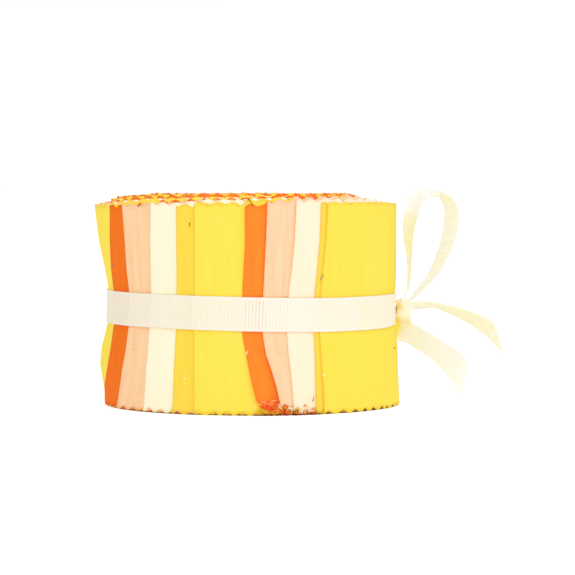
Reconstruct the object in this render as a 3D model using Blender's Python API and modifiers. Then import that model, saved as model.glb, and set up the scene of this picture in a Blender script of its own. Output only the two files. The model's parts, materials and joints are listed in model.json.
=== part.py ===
"""A roll of pre-cut quilting strips, standing on its edges and tied with a narrow ribbon.

The roll's axis is vertical. The front is -Y and the bow is on the +X side. Angles round the roll
are counted from the front towards the bow, in degrees.
"""

import math

import bmesh
import bpy
import numpy as np

COLLECTION = "Fabric strip roll"

# The cloth: sizes in metres
STRIP_WIDTH = 0.0635
STRIP_PITCH = 0.00032
STRIPS_IN_STACK = 10
TURN_PITCH = STRIP_PITCH * STRIPS_IN_STACK
TOOTH_DEPTH = 0.0015

# The roll's ends: the inner turns have slid up out of the outer ones
ROLL_RADIUS = 0.0475
EYE_RADIUS = 0.0024
EYE_DEPTH = 0.0040
TELESCOPE = 0.0034
TELESCOPE_OUTER = 0.0447
TELESCOPE_INNER = 0.0340
LEDGE = 0.0010
GROOVE_DEPTH = 0.0009
TURN_TOOTH = 0.0006
TOOTHED_RADIUS = 0.0350
OUTLINE_REACH = 5

# The ribbon
RIBBON_WIDTH = 0.0096
RIBBON_THICKNESS = 0.0010
GAP = 0.0003
WAIST = 0.0302
WAIST_DROP = 0.0009
SHOULDER = 0.0007
WAIST_REACH = 0.0060

# The whole model is moved along X, so that its box is centred on the origin
AXIS_X = -0.01583

# The cut ends that show at the front, from the left: the angle of each end at the top edge, under
# the ribbon and at the bottom edge, and how many half teeth show before the next strip covers it.
STRIP_ENDS = (
    # colour, top, waist, bottom, half teeth
    ("orange", -61.2, -69.5, -77.0, 4),
    ("peach", -52.0, -55.0, -62.0, 4),
    ("cream", -37.6, -41.5, -43.8, 4),
    ("gold", -26.8, -28.8, -29.6, 2),
    ("yellow", -19.8, -21.3, -20.9, 6),
    ("orange", -1.0, -2.0, 3.9, 2),
    ("peach", 6.8, 5.6, 11.2, 4),
    ("cream", 17.7, 15.3, 17.1, 4),
    ("gold", 27.5, 25.7, 25.6, 1),
    ("yellow", 30.7, 28.3, 29.6, 79),
)
END_HALF_WIDTH = 0.25
COLUMNS = sum(row[4] for row in STRIP_ENDS) + len(STRIP_ENDS)

# The wall's radius by height, on the side away from the bow and on the bow's side
WALL = (
    # height, away from the bow, at the bow
    (0.0000, 0.0466, 0.0482),
    (0.0050, 0.0467, 0.0481),
    (0.0110, 0.0481, 0.0480),
    (0.0165, 0.0480, 0.0479),
    (0.0210, 0.0468, 0.0476),
    (0.0240, 0.0458, 0.0466),
    (0.0362, 0.0454, 0.0466),
    (0.0400, 0.0461, 0.0466),
    (0.0460, 0.0472, 0.0467),
    (0.0540, 0.0491, 0.0468),
    (0.0635, 0.0499, 0.0469),
)
WAIST_RADIUS_AWAY = 0.0441
WAIST_RADIUS_BOW = 0.0448

# Rows of the roll's surface between its pole at the bottom and its pole at the top
WALL_LEVELS = (0.0, 0.0045, 0.0110, 0.0165, 0.0210)
UPPER_LEVELS = (0.0400, 0.0460, 0.0540, 0.0600, STRIP_WIDTH)
TURNS = math.ceil((ROLL_RADIUS - EYE_RADIUS) / TURN_PITCH)

# Inside these radii the columns join in twos, fours and eights, because the turns get shorter
JOIN_RADII = ((8, 0.008), (4, 0.018), (2, 0.033))
MERGE = 0.00008

# The bow. Each row is one line across the ribbon, given by where its two edges are, in
# millimetres from the roll's axis and from the floor, with the ribbon's width along that line.
# What the two edges lack of that width seen from the front, they lie apart in depth.
LOOP_LINES = (
    # near x, near z, far x, far z, width
    (48.8, 33.5, 49.4, 33.5, 6.5),
    (50.1, 38.1, 51.3, 37.9, 8.5),
    (50.3, 44.4, 51.9, 44.0, 10.0),
    (49.9, 48.8, 52.2, 48.5, 10.0),
    (49.0, 53.3, 52.5, 52.9, 10.0),
    (49.1, 58.6, 54.4, 58.4, 10.0),
    (49.7, 62.1, 55.4, 61.8, 10.0),
    (50.9, 65.2, 56.2, 63.6, 10.0),
    (53.4, 67.1, 57.2, 64.7, 10.0),
    (56.8, 67.6, 58.5, 65.3, 10.0),
    (59.9, 67.6, 59.6, 65.5, 10.0),
    (61.9, 66.8, 60.7, 65.7, 10.0),
    (63.5, 66.0, 61.3, 65.0, 10.0),
    (65.2, 63.9, 62.1, 63.1, 10.0),
    (66.3, 58.8, 62.5, 58.7, 10.0),
    (65.9, 53.1, 61.8, 53.1, 10.0),
    (63.1, 46.1, 60.0, 47.4, 10.0),
    (59.4, 40.3, 57.5, 41.4, 10.0),
    (56.0, 36.4, 53.8, 36.5, 8.5),
    (52.6, 33.2, 51.3, 33.4, 6.5),
)
UPPER_TAIL_LINES = (
    (51.8, 31.8, 52.1, 29.9, 6.5),
    (54.4, 32.4, 54.6, 29.8, 9.0),
    (58.4, 32.3, 58.9, 30.1, 10.0),
    (66.0, 30.5, 64.0, 28.4, 10.0),
    (72.7, 28.2, 69.5, 25.6, 10.0),
    (76.1, 26.9, 74.6, 21.8, 10.0),
    (77.6, 26.1, 78.2, 18.7, 10.5),
    (77.9, 25.6, 81.3, 15.7, 12.4),
)
LOWER_TAIL_LINES = (
    (51.5, 25.3, 48.9, 24.9, 6.0),
    (52.4, 24.9, 49.3, 21.8, 7.4),
    (53.8, 24.0, 50.8, 19.4, 8.8),
    (56.6, 22.2, 53.0, 17.9, 10.0),
    (62.9, 18.6, 58.1, 14.3, 10.0),
    (67.9, 15.4, 61.7, 11.1, 10.0),
    (70.1, 12.9, 64.4, 7.0, 10.2),
    (70.2, 12.8, 65.8, 4.1, 11.2),
    (70.2, 12.7, 67.4, 1.2, 13.0),
)
BOW_DEPTH = 0.0005
LINE_STEPS = 2
ACROSS_STEPS = 4

# The knot, a small pillow that sits on the band
KNOT_HALF = (0.0023, 0.0034, 0.0037)
KNOT_HEIGHT = 0.0292
KNOT_SQUARENESS = 0.62
KNOT_WRAP = 0.10
KNOT_SEGMENTS = 20
KNOT_RINGS = 12

# Faces that meet at a larger angle than this, in degrees, keep a sharp edge between them
SHARP_ANGLE = 35.0

# Base colour and roughness of each piece
FINISHES = {
    "strip_roll": ((0.97, 0.80, 0.12, 1.0), 0.9),
    "ribbon_band": ((0.95, 0.90, 0.74, 1.0), 0.7),
    "ribbon_knot": ((0.93, 0.86, 0.66, 1.0), 0.7),
    "ribbon_loop": ((0.95, 0.91, 0.76, 1.0), 0.7),
    "ribbon_tail_upper": ((0.94, 0.89, 0.70, 1.0), 0.7),
    "ribbon_tail_lower": ((0.96, 0.93, 0.80, 1.0), 0.7),
}


def clear_scene():
    """Take every object out of the open file."""
    for item in list(bpy.data.objects):
        bpy.data.objects.remove(item, do_unlink=True)


def material(name):
    """A plain Principled finish for the piece of that name."""
    colour, roughness = FINISHES[name]
    made = bpy.data.materials.new(name)
    made.use_nodes = True
    shader = made.node_tree.nodes["Principled BSDF"]
    shader.inputs["Base Color"].default_value = colour
    shader.inputs["Roughness"].default_value = roughness
    shader.inputs["Metallic"].default_value = 0.0
    return made


def grid_mesh(columns, rows, place, close=False):
    """A grid whose points are moved to place(column, row), both numpy arrays.

    The grid is made flat first. Where the placed points coincide, as at a seam or a pole, they
    are merged when close is true.
    """
    shape = bmesh.new()
    bmesh.ops.create_grid(shape, x_segments=columns, y_segments=rows, size=0.5)
    flat = np.array([point.co[:] for point in shape.verts])
    column = np.rint((flat[:, 0] + 0.5) * columns).astype(int)
    row = np.rint((flat[:, 1] + 0.5) * rows).astype(int)
    for point, target in zip(shape.verts, place(column, row)):
        point.co = target
    if close:
        bmesh.ops.remove_doubles(shape, verts=shape.verts, dist=MERGE)
        bmesh.ops.recalc_face_normals(shape, faces=shape.faces)
    return shape


def finish(name, shape, collection):
    """Turn a bmesh into the object of that name, with its own material."""
    mesh = bpy.data.meshes.new(name)
    shape.to_mesh(mesh)
    shape.free()
    mesh.shade_smooth()
    mesh.set_sharp_from_angle(angle=math.radians(SHARP_ANGLE))
    mesh.materials.append(material(name))
    made = bpy.data.objects.new(name, mesh)
    made.location.x = AXIS_X
    collection.objects.link(made)
    return made


def end_columns():
    """First and last column of the stretch that each strip shows, as one rising array."""
    marks = []
    column = 0
    for row in STRIP_ENDS:
        marks += [column, column + row[4]]
        column += row[4] + 1
    return np.array(marks + [COLUMNS])


def column_angle(column, height):
    """Angle of a column at a height, in degrees.

    The columns between two cut ends are spread evenly, so they lean as the ends lean. Near the
    waist the angle is the one under the ribbon.
    """
    ends = np.array([row[1:4] for row in STRIP_ENDS])
    ends = np.vstack([ends, ends[0] + 360.0])
    marks = end_columns()
    knots = np.empty((3, len(marks)))
    knots[:, 0::2] = ends.T + END_HALF_WIDTH
    knots[:, 1::2] = ends[1:].T - END_HALF_WIDTH
    top, waist, bottom = (np.interp(column, marks, knot) for knot in knots)
    over = WAIST + WAIST_REACH
    under = WAIST - WAIST_REACH
    upward = np.clip((height - over) / (STRIP_WIDTH - over), 0, 1)
    downward = np.clip((under - height) / under, 0, 1)
    return waist + (top - waist) * upward + (bottom - waist) * downward


def spiral_rise(column):
    """How far the surface stands out, or in, because of the strips wound so far.

    Each cut end adds one strip, and one whole turn takes all ten away again.
    """
    marks = end_columns()
    strips = np.searchsorted(marks[0:-1:2], column, side="right")
    strips = np.where(column == COLUMNS, 1, strips)
    turned = (column_angle(column % COLUMNS, WAIST) - STRIP_ENDS[0][2]) / 360.0
    return STRIP_PITCH * strips - TURN_PITCH * turned


def side_blend(angle, away, bow):
    """A radius between the one away from the bow and the one at the bow."""
    return (away + bow) / 2 + (bow - away) / 2 * np.sin(np.radians(angle))


def wall_radius(column, height, waist=False):
    """Radius of the roll's wall at a column and height, or in the waist under the ribbon."""
    angle = column_angle(column, height)
    if waist:
        radius = side_blend(angle, WAIST_RADIUS_AWAY, WAIST_RADIUS_BOW)
    else:
        levels, away, bow = np.array(WALL).T
        radius = side_blend(angle, np.interp(height, levels, away), np.interp(height, levels, bow))
    away_rise, bow_rise = (
        np.interp(side, column_angle(np.arange(COLUMNS), WAIST), spiral_rise(np.arange(COLUMNS)))
        for side in (270.0, 90.0)
    )
    return radius + spiral_rise(column) - side_blend(angle, away_rise, bow_rise)


def waist_height(angle, offset):
    """Height of a line round the waist: the ribbon hangs a little lower at the bow."""
    at_bow = np.clip(np.sin(np.radians(angle)), 0, 1) ** 2
    return WAIST + offset - WAIST_DROP * at_bow


def telescope(radius):
    """How far the turns at a radius have slid up."""
    share = (TELESCOPE_OUTER - radius) / (TELESCOPE_OUTER - TELESCOPE_INNER)
    return TELESCOPE * np.clip(share, 0, 1)


def join_columns(column, radius_at):
    """Columns in twos, fours and eights where the radius gets small."""
    joined = column.copy()
    taken = np.zeros(len(column), dtype=bool)
    for group, limit in JOIN_RADII:
        first = column - column % group
        inside = (radius_at(first) < limit) & ~taken
        joined = np.where(inside, first, joined)
        taken |= inside
    return joined


def polar(angle, radius, height):
    """Points in space from angle, radius and height."""
    turn, radius, height = np.broadcast_arrays(np.radians(angle), radius, height)
    return np.stack([radius * np.sin(turn), -radius * np.cos(turn), height], axis=-1)


def end_row(column, nominal, height, rim):
    """One row of an end face: a nominal radius, drawn to the rim's outline as it nears the rim."""
    drawn = (nominal / ROLL_RADIUS) ** OUTLINE_REACH
    radius = nominal + (wall_radius(column, rim) - ROLL_RADIUS) * drawn
    return polar(column_angle(column, rim), radius, height)


def bottom_rows():
    """The bottom: the pole, the raised inner turns, and the flat ring that it stands on."""

    def ring(nominal):
        def place(column):
            joined = join_columns(column, lambda c: np.full(len(c), nominal))
            return end_row(joined, nominal, telescope(nominal), 0.0)

        return place

    return [ring(r) for r in (0.0, TELESCOPE_INNER, TELESCOPE_OUTER, ROLL_RADIUS - LEDGE)]


def wall_rows():
    """The wall, with pinked teeth at both edges and the waist that the ribbon pulls in."""

    def level(height):
        edge = {0.0: 1, STRIP_WIDTH: -1}.get(height, 0)

        def place(column):
            tooth = edge * TOOTH_DEPTH * (column % 2)
            return polar(
                column_angle(column, height), wall_radius(column, height), height + tooth
            )

        return place

    def waist_level(offset, narrow):
        def place(column):
            angle = column_angle(column, WAIST)
            radius = wall_radius(column, WAIST + offset, waist=narrow)
            return polar(angle, radius, waist_height(angle, offset))

        return place

    half = RIBBON_WIDTH / 2 + GAP
    waist = [
        waist_level(-half - SHOULDER, False),
        waist_level(-half, True),
        waist_level(half, True),
        waist_level(half + SHOULDER, False),
    ]
    return [level(z) for z in WALL_LEVELS] + waist + [level(z) for z in UPPER_LEVELS]


def turned_share(column):
    """How much of a turn lies between the first cut end and a column, from 0 to 1."""
    start = column_angle(np.array([0]), STRIP_WIDTH)[0]
    return (column_angle(column, STRIP_WIDTH) - start) / 360.0


def top_rows():
    """The top: a spiral ridge and groove for each turn of the stack, up to the eye."""
    ledge_radius = ROLL_RADIUS - LEDGE

    def spiral(turn, crest):
        def radius_at(column):
            wound = turn + turned_share(column) - (0.5 if crest else 0.0)
            return ROLL_RADIUS - TURN_PITCH * wound

        def place(column):
            joined = join_columns(column, radius_at)
            radius = radius_at(joined)
            nominal = np.clip(radius, EYE_RADIUS, ledge_radius)
            height = STRIP_WIDTH + telescope(nominal)
            free = (radius > EYE_RADIUS) & (radius < ledge_radius)
            if crest:
                height -= TURN_TOOTH * (joined % 2) * (free & (radius > TOOTHED_RADIUS))
            else:
                height -= GROOVE_DEPTH * free
            return end_row(joined, nominal, height, STRIP_WIDTH)

        return place

    def eye(column):
        angle = column_angle(column, STRIP_WIDTH)
        return polar(angle, 0.0, STRIP_WIDTH + TELESCOPE - EYE_DEPTH)

    ledge = [lambda column: end_row(column, ledge_radius, STRIP_WIDTH, STRIP_WIDTH)]
    turns = [spiral(turn, crest) for turn in range(TURNS + 1) for crest in (True, False)]
    return ledge + turns + [eye]


def make_roll(collection):
    """The wound strips, one closed body."""
    rows = bottom_rows() + wall_rows() + top_rows()

    def place(column, row):
        points = np.empty((len(column), 3))
        for number, make_row in enumerate(rows):
            here = row == number
            points[here] = make_row(column[here])
        return points

    shape = grid_mesh(COLUMNS, len(rows) - 1, place, close=True)
    return finish("strip_roll", shape, collection)


def band_inner_radius(column):
    """The ribbon bridges the steps between strips, so it takes the largest radius nearby."""
    near = [wall_radius((column + step) % COLUMNS, WAIST, waist=True) for step in (-1, 0, 1)]
    return np.max(near, axis=0) + GAP


def make_band(collection):
    """The ribbon round the waist."""
    half = RIBBON_WIDTH / 2
    corners = (
        # out from the inner face, up from the middle
        (0.0, -half),
        (0.0, half),
        (RIBBON_THICKNESS, half),
        (RIBBON_THICKNESS, -half),
        (0.0, -half),
    )

    def place(column, row):
        out, up = np.array(corners)[row].T
        angle = column_angle(column, WAIST)
        return polar(angle, band_inner_radius(column) + out, waist_height(angle, up))

    shape = grid_mesh(COLUMNS, len(corners) - 1, place, close=True)
    return finish("ribbon_band", shape, collection)


def bow_radius():
    """Outer radius of the band under the knot."""
    angles = column_angle(np.arange(COLUMNS), WAIST)
    nearest = int(np.argmin(np.abs(angles - 90.0)))
    return band_inner_radius(np.array([nearest]))[0] + RIBBON_THICKNESS


def make_knot(collection):
    """A pillow with flattened sides, drawn in a little round its middle."""
    shape = bmesh.new()
    bmesh.ops.create_uvsphere(shape, u_segments=KNOT_SEGMENTS, v_segments=KNOT_RINGS, radius=1.0)
    centre_x = bow_radius() + GAP + KNOT_HALF[0]
    for point in shape.verts:
        squared = [math.copysign(abs(c) ** KNOT_SQUARENESS, c) for c in point.co]
        drawn_in = 1.0 - KNOT_WRAP * (1.0 - squared[2] ** 2)
        point.co.x = centre_x + KNOT_HALF[0] * squared[0]
        point.co.y = BOW_DEPTH + KNOT_HALF[1] * squared[1] * drawn_in
        point.co.z = KNOT_HEIGHT + KNOT_HALF[2] * squared[2]
    return finish("ribbon_knot", shape, collection)


def smooth_rows(table, steps):
    """Rows between the rows of a table, on a Catmull-Rom curve through each column."""
    rows = np.array(table, dtype=float)
    rows = np.vstack([2 * rows[0] - rows[1], rows, 2 * rows[-1] - rows[-2]])
    made = []
    for before, here, after, beyond in zip(rows, rows[1:], rows[2:], rows[3:]):
        for step in range(steps):
            t = step / steps
            tangent_here = (after - before) / 2
            tangent_after = (beyond - here) / 2
            made.append(
                (2 * t**3 - 3 * t**2 + 1) * here
                + (t**3 - 2 * t**2 + t) * tangent_here
                + (3 * t**2 - 2 * t**3) * after
                + (t**3 - t**2) * tangent_after
            )
    made.append(rows[-2])
    return np.array(made)


def make_free_ribbon(name, table, collection):
    """A free length of ribbon: straight lines across it, from its near edge to its far edge."""
    lines = smooth_rows(table, LINE_STEPS) / 1000.0
    near_x, near_z, far_x, far_z, width = lines.T
    seen = (far_x - near_x) ** 2 + (far_z - near_z) ** 2
    depth = np.sqrt(width**2 - seen) / 2

    def place(column, row):
        share = column / ACROSS_STEPS
        x = near_x[row] + (far_x - near_x)[row] * share
        y = BOW_DEPTH + depth[row] * (2 * share - 1)
        z = near_z[row] + (far_z - near_z)[row] * share
        return np.stack([x, y, z], axis=-1)

    shape = grid_mesh(ACROSS_STEPS, len(lines) - 1, place)
    made = finish(name, shape, collection)
    wall = made.modifiers.new("Thickness", "SOLIDIFY")
    wall.thickness = RIBBON_THICKNESS
    wall.offset = 0.0
    wall.use_even_offset = True
    return made


def main():
    """Build the six pieces."""
    clear_scene()
    collection = bpy.data.collections.new(COLLECTION)
    bpy.context.scene.collection.children.link(collection)
    make_roll(collection)
    make_band(collection)
    make_knot(collection)
    make_free_ribbon("ribbon_loop", LOOP_LINES, collection)
    make_free_ribbon("ribbon_tail_upper", UPPER_TAIL_LINES, collection)
    make_free_ribbon("ribbon_tail_lower", LOWER_TAIL_LINES, collection)


main()
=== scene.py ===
# %% [markdown]
# A roll of quilting strips tied with a ribbon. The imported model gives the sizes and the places,
# such as the roll's axis. Every surface below is worked out with numpy from those.

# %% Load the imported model
import json
import math

import bpy
import numpy as np
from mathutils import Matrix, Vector


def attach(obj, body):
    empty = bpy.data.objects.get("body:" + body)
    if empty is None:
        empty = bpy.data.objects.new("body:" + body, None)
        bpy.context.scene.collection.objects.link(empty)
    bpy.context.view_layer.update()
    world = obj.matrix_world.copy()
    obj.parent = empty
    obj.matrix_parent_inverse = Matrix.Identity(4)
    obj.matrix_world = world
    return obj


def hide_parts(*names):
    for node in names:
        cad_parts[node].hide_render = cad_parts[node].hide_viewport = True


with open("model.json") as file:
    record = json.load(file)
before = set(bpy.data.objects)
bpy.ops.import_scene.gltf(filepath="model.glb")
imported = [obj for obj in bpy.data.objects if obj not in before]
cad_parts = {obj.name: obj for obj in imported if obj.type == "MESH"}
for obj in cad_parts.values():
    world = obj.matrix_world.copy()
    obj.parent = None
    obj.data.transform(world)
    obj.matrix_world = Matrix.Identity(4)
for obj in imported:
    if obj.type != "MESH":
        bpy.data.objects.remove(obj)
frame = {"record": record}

scene = bpy.context.scene
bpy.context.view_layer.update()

# %% [markdown]
# The driving sizes. The roll stands on the floor, so its height is the strips' width. Its axis is
# read from the mount under it. A strip is cut 63.5 mm wide, and the threads of its pinked edges
# spread 0.2 mm past both cuts. Its cotton is a quarter of a millimetre thick and traps a little
# air, so ten strips wind at 3.2 mm a turn.

# %% Sizes and axis
AXIS_X = frame["record"]["mounts"][0]["pos_m"][0]
STRIP_WIDTH = 0.0639
EYE_RADIUS = 0.0024
CLOTH_THICKNESS = 0.00024
STRIP_PITCH = 0.00032
STACK = 10
TURN_PITCH = STRIP_PITCH * STACK
ROLL_RADIUS = 0.0475
TOOTH_PITCH = 0.00476
TOP_CUT = 0.0011
INNER_CUT = 0.0015
FOOT_CUT = 0.0014
TELESCOPE = 0.0033

RIBBON_WIDTH = 0.0104
RIBBON_THICKNESS = 0.00036
BOW_THICKNESS = 0.00026
RIB_PITCH = 0.00104
RIB_HEIGHT = 0.00010
SELVEDGE = 0.0007
WAIST = 0.0306
MM = 0.001
print("axis at x =", AXIS_X)

# %% [markdown]
# Ten strips make a stack, and the cut ends of the outer stack show at the front, each further
# round than the one under it. An end isn't straight: the ribbon holds it at the waist, and above
# and below it slid round. So a table gives each end's angle, from the front towards the bow, at
# nine heights.

# %% The outer stack's cut ends
END_HEIGHTS = np.array((0.0, 5.4, 11.4, 18.4, 25.4, 36.4, 45.4, 53.4, 63.9)) * MM
END_ANGLES = np.array((
    (-84.8, -78.4, -67.1, -65.3, -68.2, -70.2, -68.5, -64.0, -60.9),
    (-62.0, -58.4, -54.5, -52.9, -54.2, -54.5, -54.0, -51.9, -52.0),
    (-44.0, -42.5, -40.9, -40.4, -41.8, -41.2, -39.8, -38.2, -37.1),
    (-29.6, -29.0, -28.0, -27.9, -28.6, -28.6, -27.5, -26.7, -26.1),
    (-20.7, -20.2, -19.9, -20.1, -20.9, -20.9, -20.1, -19.5, -19.2),
    (3.5, 2.1, 0.8, -0.5, -2.3, -2.1, -1.5, -0.8, -0.9),
    (11.8, 10.7, 9.1, 6.6, 5.3, 5.7, 6.2, 6.6, 7.0),
    (16.8, 16.4, 15.7, 14.8, 14.6, 15.2, 16.6, 17.2, 17.6),
    (25.6, 25.4, 25.2, 25.1, 25.4, 25.8, 26.8, 27.4, 27.6),
    (28.4, 28.4, 27.8, 27.4, 27.5, 28.1, 29.0, 29.8, 30.1),
))


def end_angle(strip, height):
    """Angle of a strip's cut end at a height, straight between the heights of the table."""
    return np.interp(height, END_HEIGHTS, END_ANGLES[strip])


WAIST_ANGLES = np.array([end_angle(strip, WAIST) for strip in range(STACK)])
FIRST_END = WAIST_ANGLES[0]

# %% [markdown]
# The strips differ in more than colour. Some slid up more than others, some frayed short at the
# foot, their ends stand off by different amounts, and each has its own row of teeth. The second
# table says how much higher a strip's top edge stands along its first part.

# %% How the strips differ
STRIP_DETAILS = (
    # colour, slide extra, short foot, end standing off at top and at foot, all in mm,
    # then where the teeth start at the top and at the foot, as a share of a tooth
    ("orange_deep", 0.20, 0.0, 0.1, 0.2, 0.30, 0.10),
    ("peach", -0.55, 0.2, 0.2, 0.2, 0.50, 0.30),
    ("cream", -0.30, 0.3, 0.2, 0.1, 0.50, 0.48),
    ("gold", 0.15, 0.0, 0.1, 0.1, 0.90, 0.85),
    ("yellow", 0.05, 0.0, 0.3, 0.2, 0.21, 0.79),
    ("orange", 0.25, 3.6, 0.5, 0.9, 0.15, 0.20),
    ("peach_warm", -0.80, 2.6, 0.4, 1.5, 0.70, 0.60),
    ("cream_warm", -0.50, 1.2, 0.3, 0.4, 0.35, 0.10),
    ("gold_light", 0.05, 0.0, 0.0, 0.1, 0.22, 0.95),
    ("yellow_outer", -0.10, 0.0, 0.1, 0.2, 0.27, 0.45),
)
LIFT_LENGTHS = np.array((0.0, 15.0, 30.0, 45.0, 60.0, 80.0)) * MM
LIFTS = np.array((
    (0.0, 0.0, 0.0, 0.0, 0.0, 0.0),
    (0.4, 0.4, 0.3, 0.2, 0.1, 0.0),
    (0.8, 0.7, 0.4, 0.2, 0.1, 0.0),
    (0.3, 0.3, 0.2, 0.1, 0.0, 0.0),
    (0.5, 0.5, 0.3, 0.1, 0.1, 0.0),
    (0.3, 0.2, 0.2, 0.2, 0.1, 0.0),
    (1.4, 2.0, 3.0, 1.0, 0.2, 0.0),
    (1.7, 1.8, 2.2, 0.7, 0.1, 0.0),
    (0.9, 0.9, 0.7, 0.1, 0.0, 0.0),
    (0.9, 0.9, 0.8, 0.2, 0.0, 0.0),
)) * MM


# %% [markdown]
# The wall of the roll isn't a plain cylinder. The ribbon draws it in, it spreads at the top away
# from the bow, and each cut end adds one strip. So its radius is an outline by height, blended
# from one side to the other, and the spiral's own rise.

# %% The wall's outline and the spiral
WALL = np.array((
    # height, radius away from the bow, radius at the bow, all in mm
    (0.0, 46.2, 47.9),
    (5.4, 46.8, 47.7),
    (11.4, 48.3, 47.4),
    (16.9, 48.0, 47.4),
    (21.4, 46.9, 47.2),
    (25.0, 45.6, 46.5),
    (30.6, 45.0, 45.7),
    (36.2, 45.0, 46.6),
    (40.4, 45.7, 46.8),
    (46.4, 46.9, 46.8),
    (54.4, 48.8, 46.9),
    (63.9, 49.7, 47.0),
)) * MM


def side_blend(angle, away, bow):
    """Half way between both at the front, and the sine of the angle leads to either."""
    return (away + bow) / 2 + (bow - away) / 2 * np.sin(np.radians(angle))


def spiral_rise(angle):
    """One strip more for each cut end passed, less ten strips for a whole turn."""
    turned = (angle - FIRST_END) % 360.0
    passed = np.searchsorted(WAIST_ANGLES - FIRST_END, turned, side="right")
    return STRIP_PITCH * passed - TURN_PITCH * turned / 360.0


RISE_AWAY, RISE_BOW = spiral_rise(270.0), spiral_rise(90.0)
BASE_RADIUS = ROLL_RADIUS - (RISE_AWAY + RISE_BOW) / 2


def wall_pull(angle, height):
    """How far the outline lies out from the plain spiral at a height."""
    away = np.interp(height, WALL[:, 0], WALL[:, 1])
    bow = np.interp(height, WALL[:, 0], WALL[:, 2])
    outline = side_blend(angle, away, bow) - side_blend(angle, RISE_AWAY, RISE_BOW)
    return outline - BASE_RADIUS


def unevenness(angle, height):
    """Low soft waves in the wall: sines round the roll whose phase drifts with the height."""
    turn = np.radians(angle)
    level = height / STRIP_WIDTH
    waves = (
        0.10 * np.sin(5 * turn + 3.0 * level)
        + 0.07 * np.sin(11 * turn - 2.2 * level + 1.0)
        + 0.05 * np.sin(23 * turn + 4.0 * level + 2.0)
        + 0.03 * np.sin(41 * turn - 6.0 * level)
    )
    return waves * MM


def real_radius(ideal, angle, height):
    """The ideal radius with the pull and the waves, which fade as the cube towards the eye."""
    share = (ideal / ROLL_RADIUS) ** 3
    return ideal + (wall_pull(angle, height) + unevenness(angle, height)) * share


def wall_radius(angle, height):
    """The real radius of the wall, which is the outermost turn."""
    return real_radius(BASE_RADIUS + spiral_rise(angle), angle, height)


print("base radius of the spiral", round(BASE_RADIUS / MM, 2), "mm")

# %% [markdown]
# A strip runs along a track of the spiral. Its radius falls evenly with the angle, so the length
# passed is a square law of the angle, and the angle at a length is that law's root.


# %% A track of the spiral
DROP = TURN_PITCH / (2 * math.pi)


def track(strip, start, along):
    """Angle in degrees and ideal radius of a strip's middle, at the lengths along it."""
    rise = STRIP_PITCH * (strip + 0.5) - TURN_PITCH * (start - FIRST_END) / 360.0
    first = BASE_RADIUS + rise
    turned = (first - np.sqrt(first**2 - 2 * DROP * along)) / DROP
    return start + np.degrees(turned), first - DROP * turned


def half_track(strip):
    """Half the length from a visible end to the eye: two strips share each track."""
    first = track(strip, WAIST_ANGLES[strip], 0.0)[1]
    return (first**2 - EYE_RADIUS**2) / (2 * DROP) / 2


print("strips from", half_track(0), "to", half_track(STACK - 1), "m long")


# %% [markdown]
# The roll has telescoped: its inner turns slid up out of the outer ones, further out at the front
# than at the bow. The slide grows smoothly from none at the wall to all of it some way in, and
# the strips keep their width, so the bottom is hollow by as much.

# %% How far the turns slid up
SLIDE_STEPS = np.array((0.0, 1.0, 2.0, 2.6, 3.0, 3.55, 3.2)) * MM
SLIDE_DEPTHS = np.array((
    # angle, then the depths in mm under the wall where the slide reaches each of the steps
    (-90.0, 0.5, 3.9, 4.9, 6.2, 14.5, 17.6, 17.9),
    (-69.0, 0.5, 3.2, 5.6, 7.4, 13.0, 16.5, 17.9),
    (-61.0, 0.3, 1.0, 2.6, 5.0, 12.0, 17.6, 17.9),
    (-40.0, 0.2, 0.5, 1.1, 1.9, 3.2, 6.4, 9.0),
    (-15.0, 0.2, 0.5, 1.4, 2.0, 2.4, 3.2, 7.0),
    (12.0, 0.1, 0.4, 0.8, 1.6, 2.2, 4.0, 9.0),
    (35.0, 0.7, 1.8, 2.8, 3.6, 4.2, 9.0, 14.0),
    (50.0, 0.9, 2.8, 4.7, 5.7, 6.4, 12.0, 16.5),
    (65.0, 3.0, 7.0, 10.4, 12.0, 13.0, 17.0, 17.9),
    (90.0, 5.2, 9.8, 12.6, 14.0, 15.0, 17.2, 17.9),
    (180.0, 1.5, 4.5, 7.0, 8.2, 9.0, 12.0, 17.9),
    (270.0, 0.5, 3.9, 4.9, 6.2, 14.5, 17.6, 17.9),
))
SLIDE_FINE = np.linspace(0, 18, 181)


def smooth_profile(depths):
    """The steps drawn over the depth, then averaged over half a millimetre to round them."""
    profile = np.interp(SLIDE_FINE, depths, SLIDE_STEPS / TELESCOPE)
    padded = np.pad(profile, 2, mode="edge")
    return np.convolve(padded, np.ones(5) / 5, mode="valid")


PROFILES = np.array([smooth_profile(row[1:]) for row in SLIDE_DEPTHS])


def slid(ideal, angle, extra):
    """The slide at an ideal radius: the profiles of both nearest directions, blended."""
    depth = (BASE_RADIUS + spiral_rise(angle) - ideal) / MM
    around = (angle + 90.0) % 360.0 - 90.0
    place = np.interp(around, SLIDE_DEPTHS[:, 0], np.arange(len(SLIDE_DEPTHS)))
    step = np.clip(depth / SLIDE_FINE[1], 0, len(SLIDE_FINE) - 1).astype(int)
    lower = np.minimum(place.astype(int), len(SLIDE_DEPTHS) - 2)
    part = place - lower
    share = PROFILES[lower, step] * (1 - part) + PROFILES[lower + 1, step] * part
    return (TELESCOPE + extra) * share


# %% [markdown]
# Pinking shears cut both long edges into teeth, and the cut threads spread, so each tooth ends
# round while the notch between two teeth stays sharp. So the cut's depth grows with the distance
# from the tip, in part evenly and in part as its square. Seeded random numbers vary the teeth.


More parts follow.
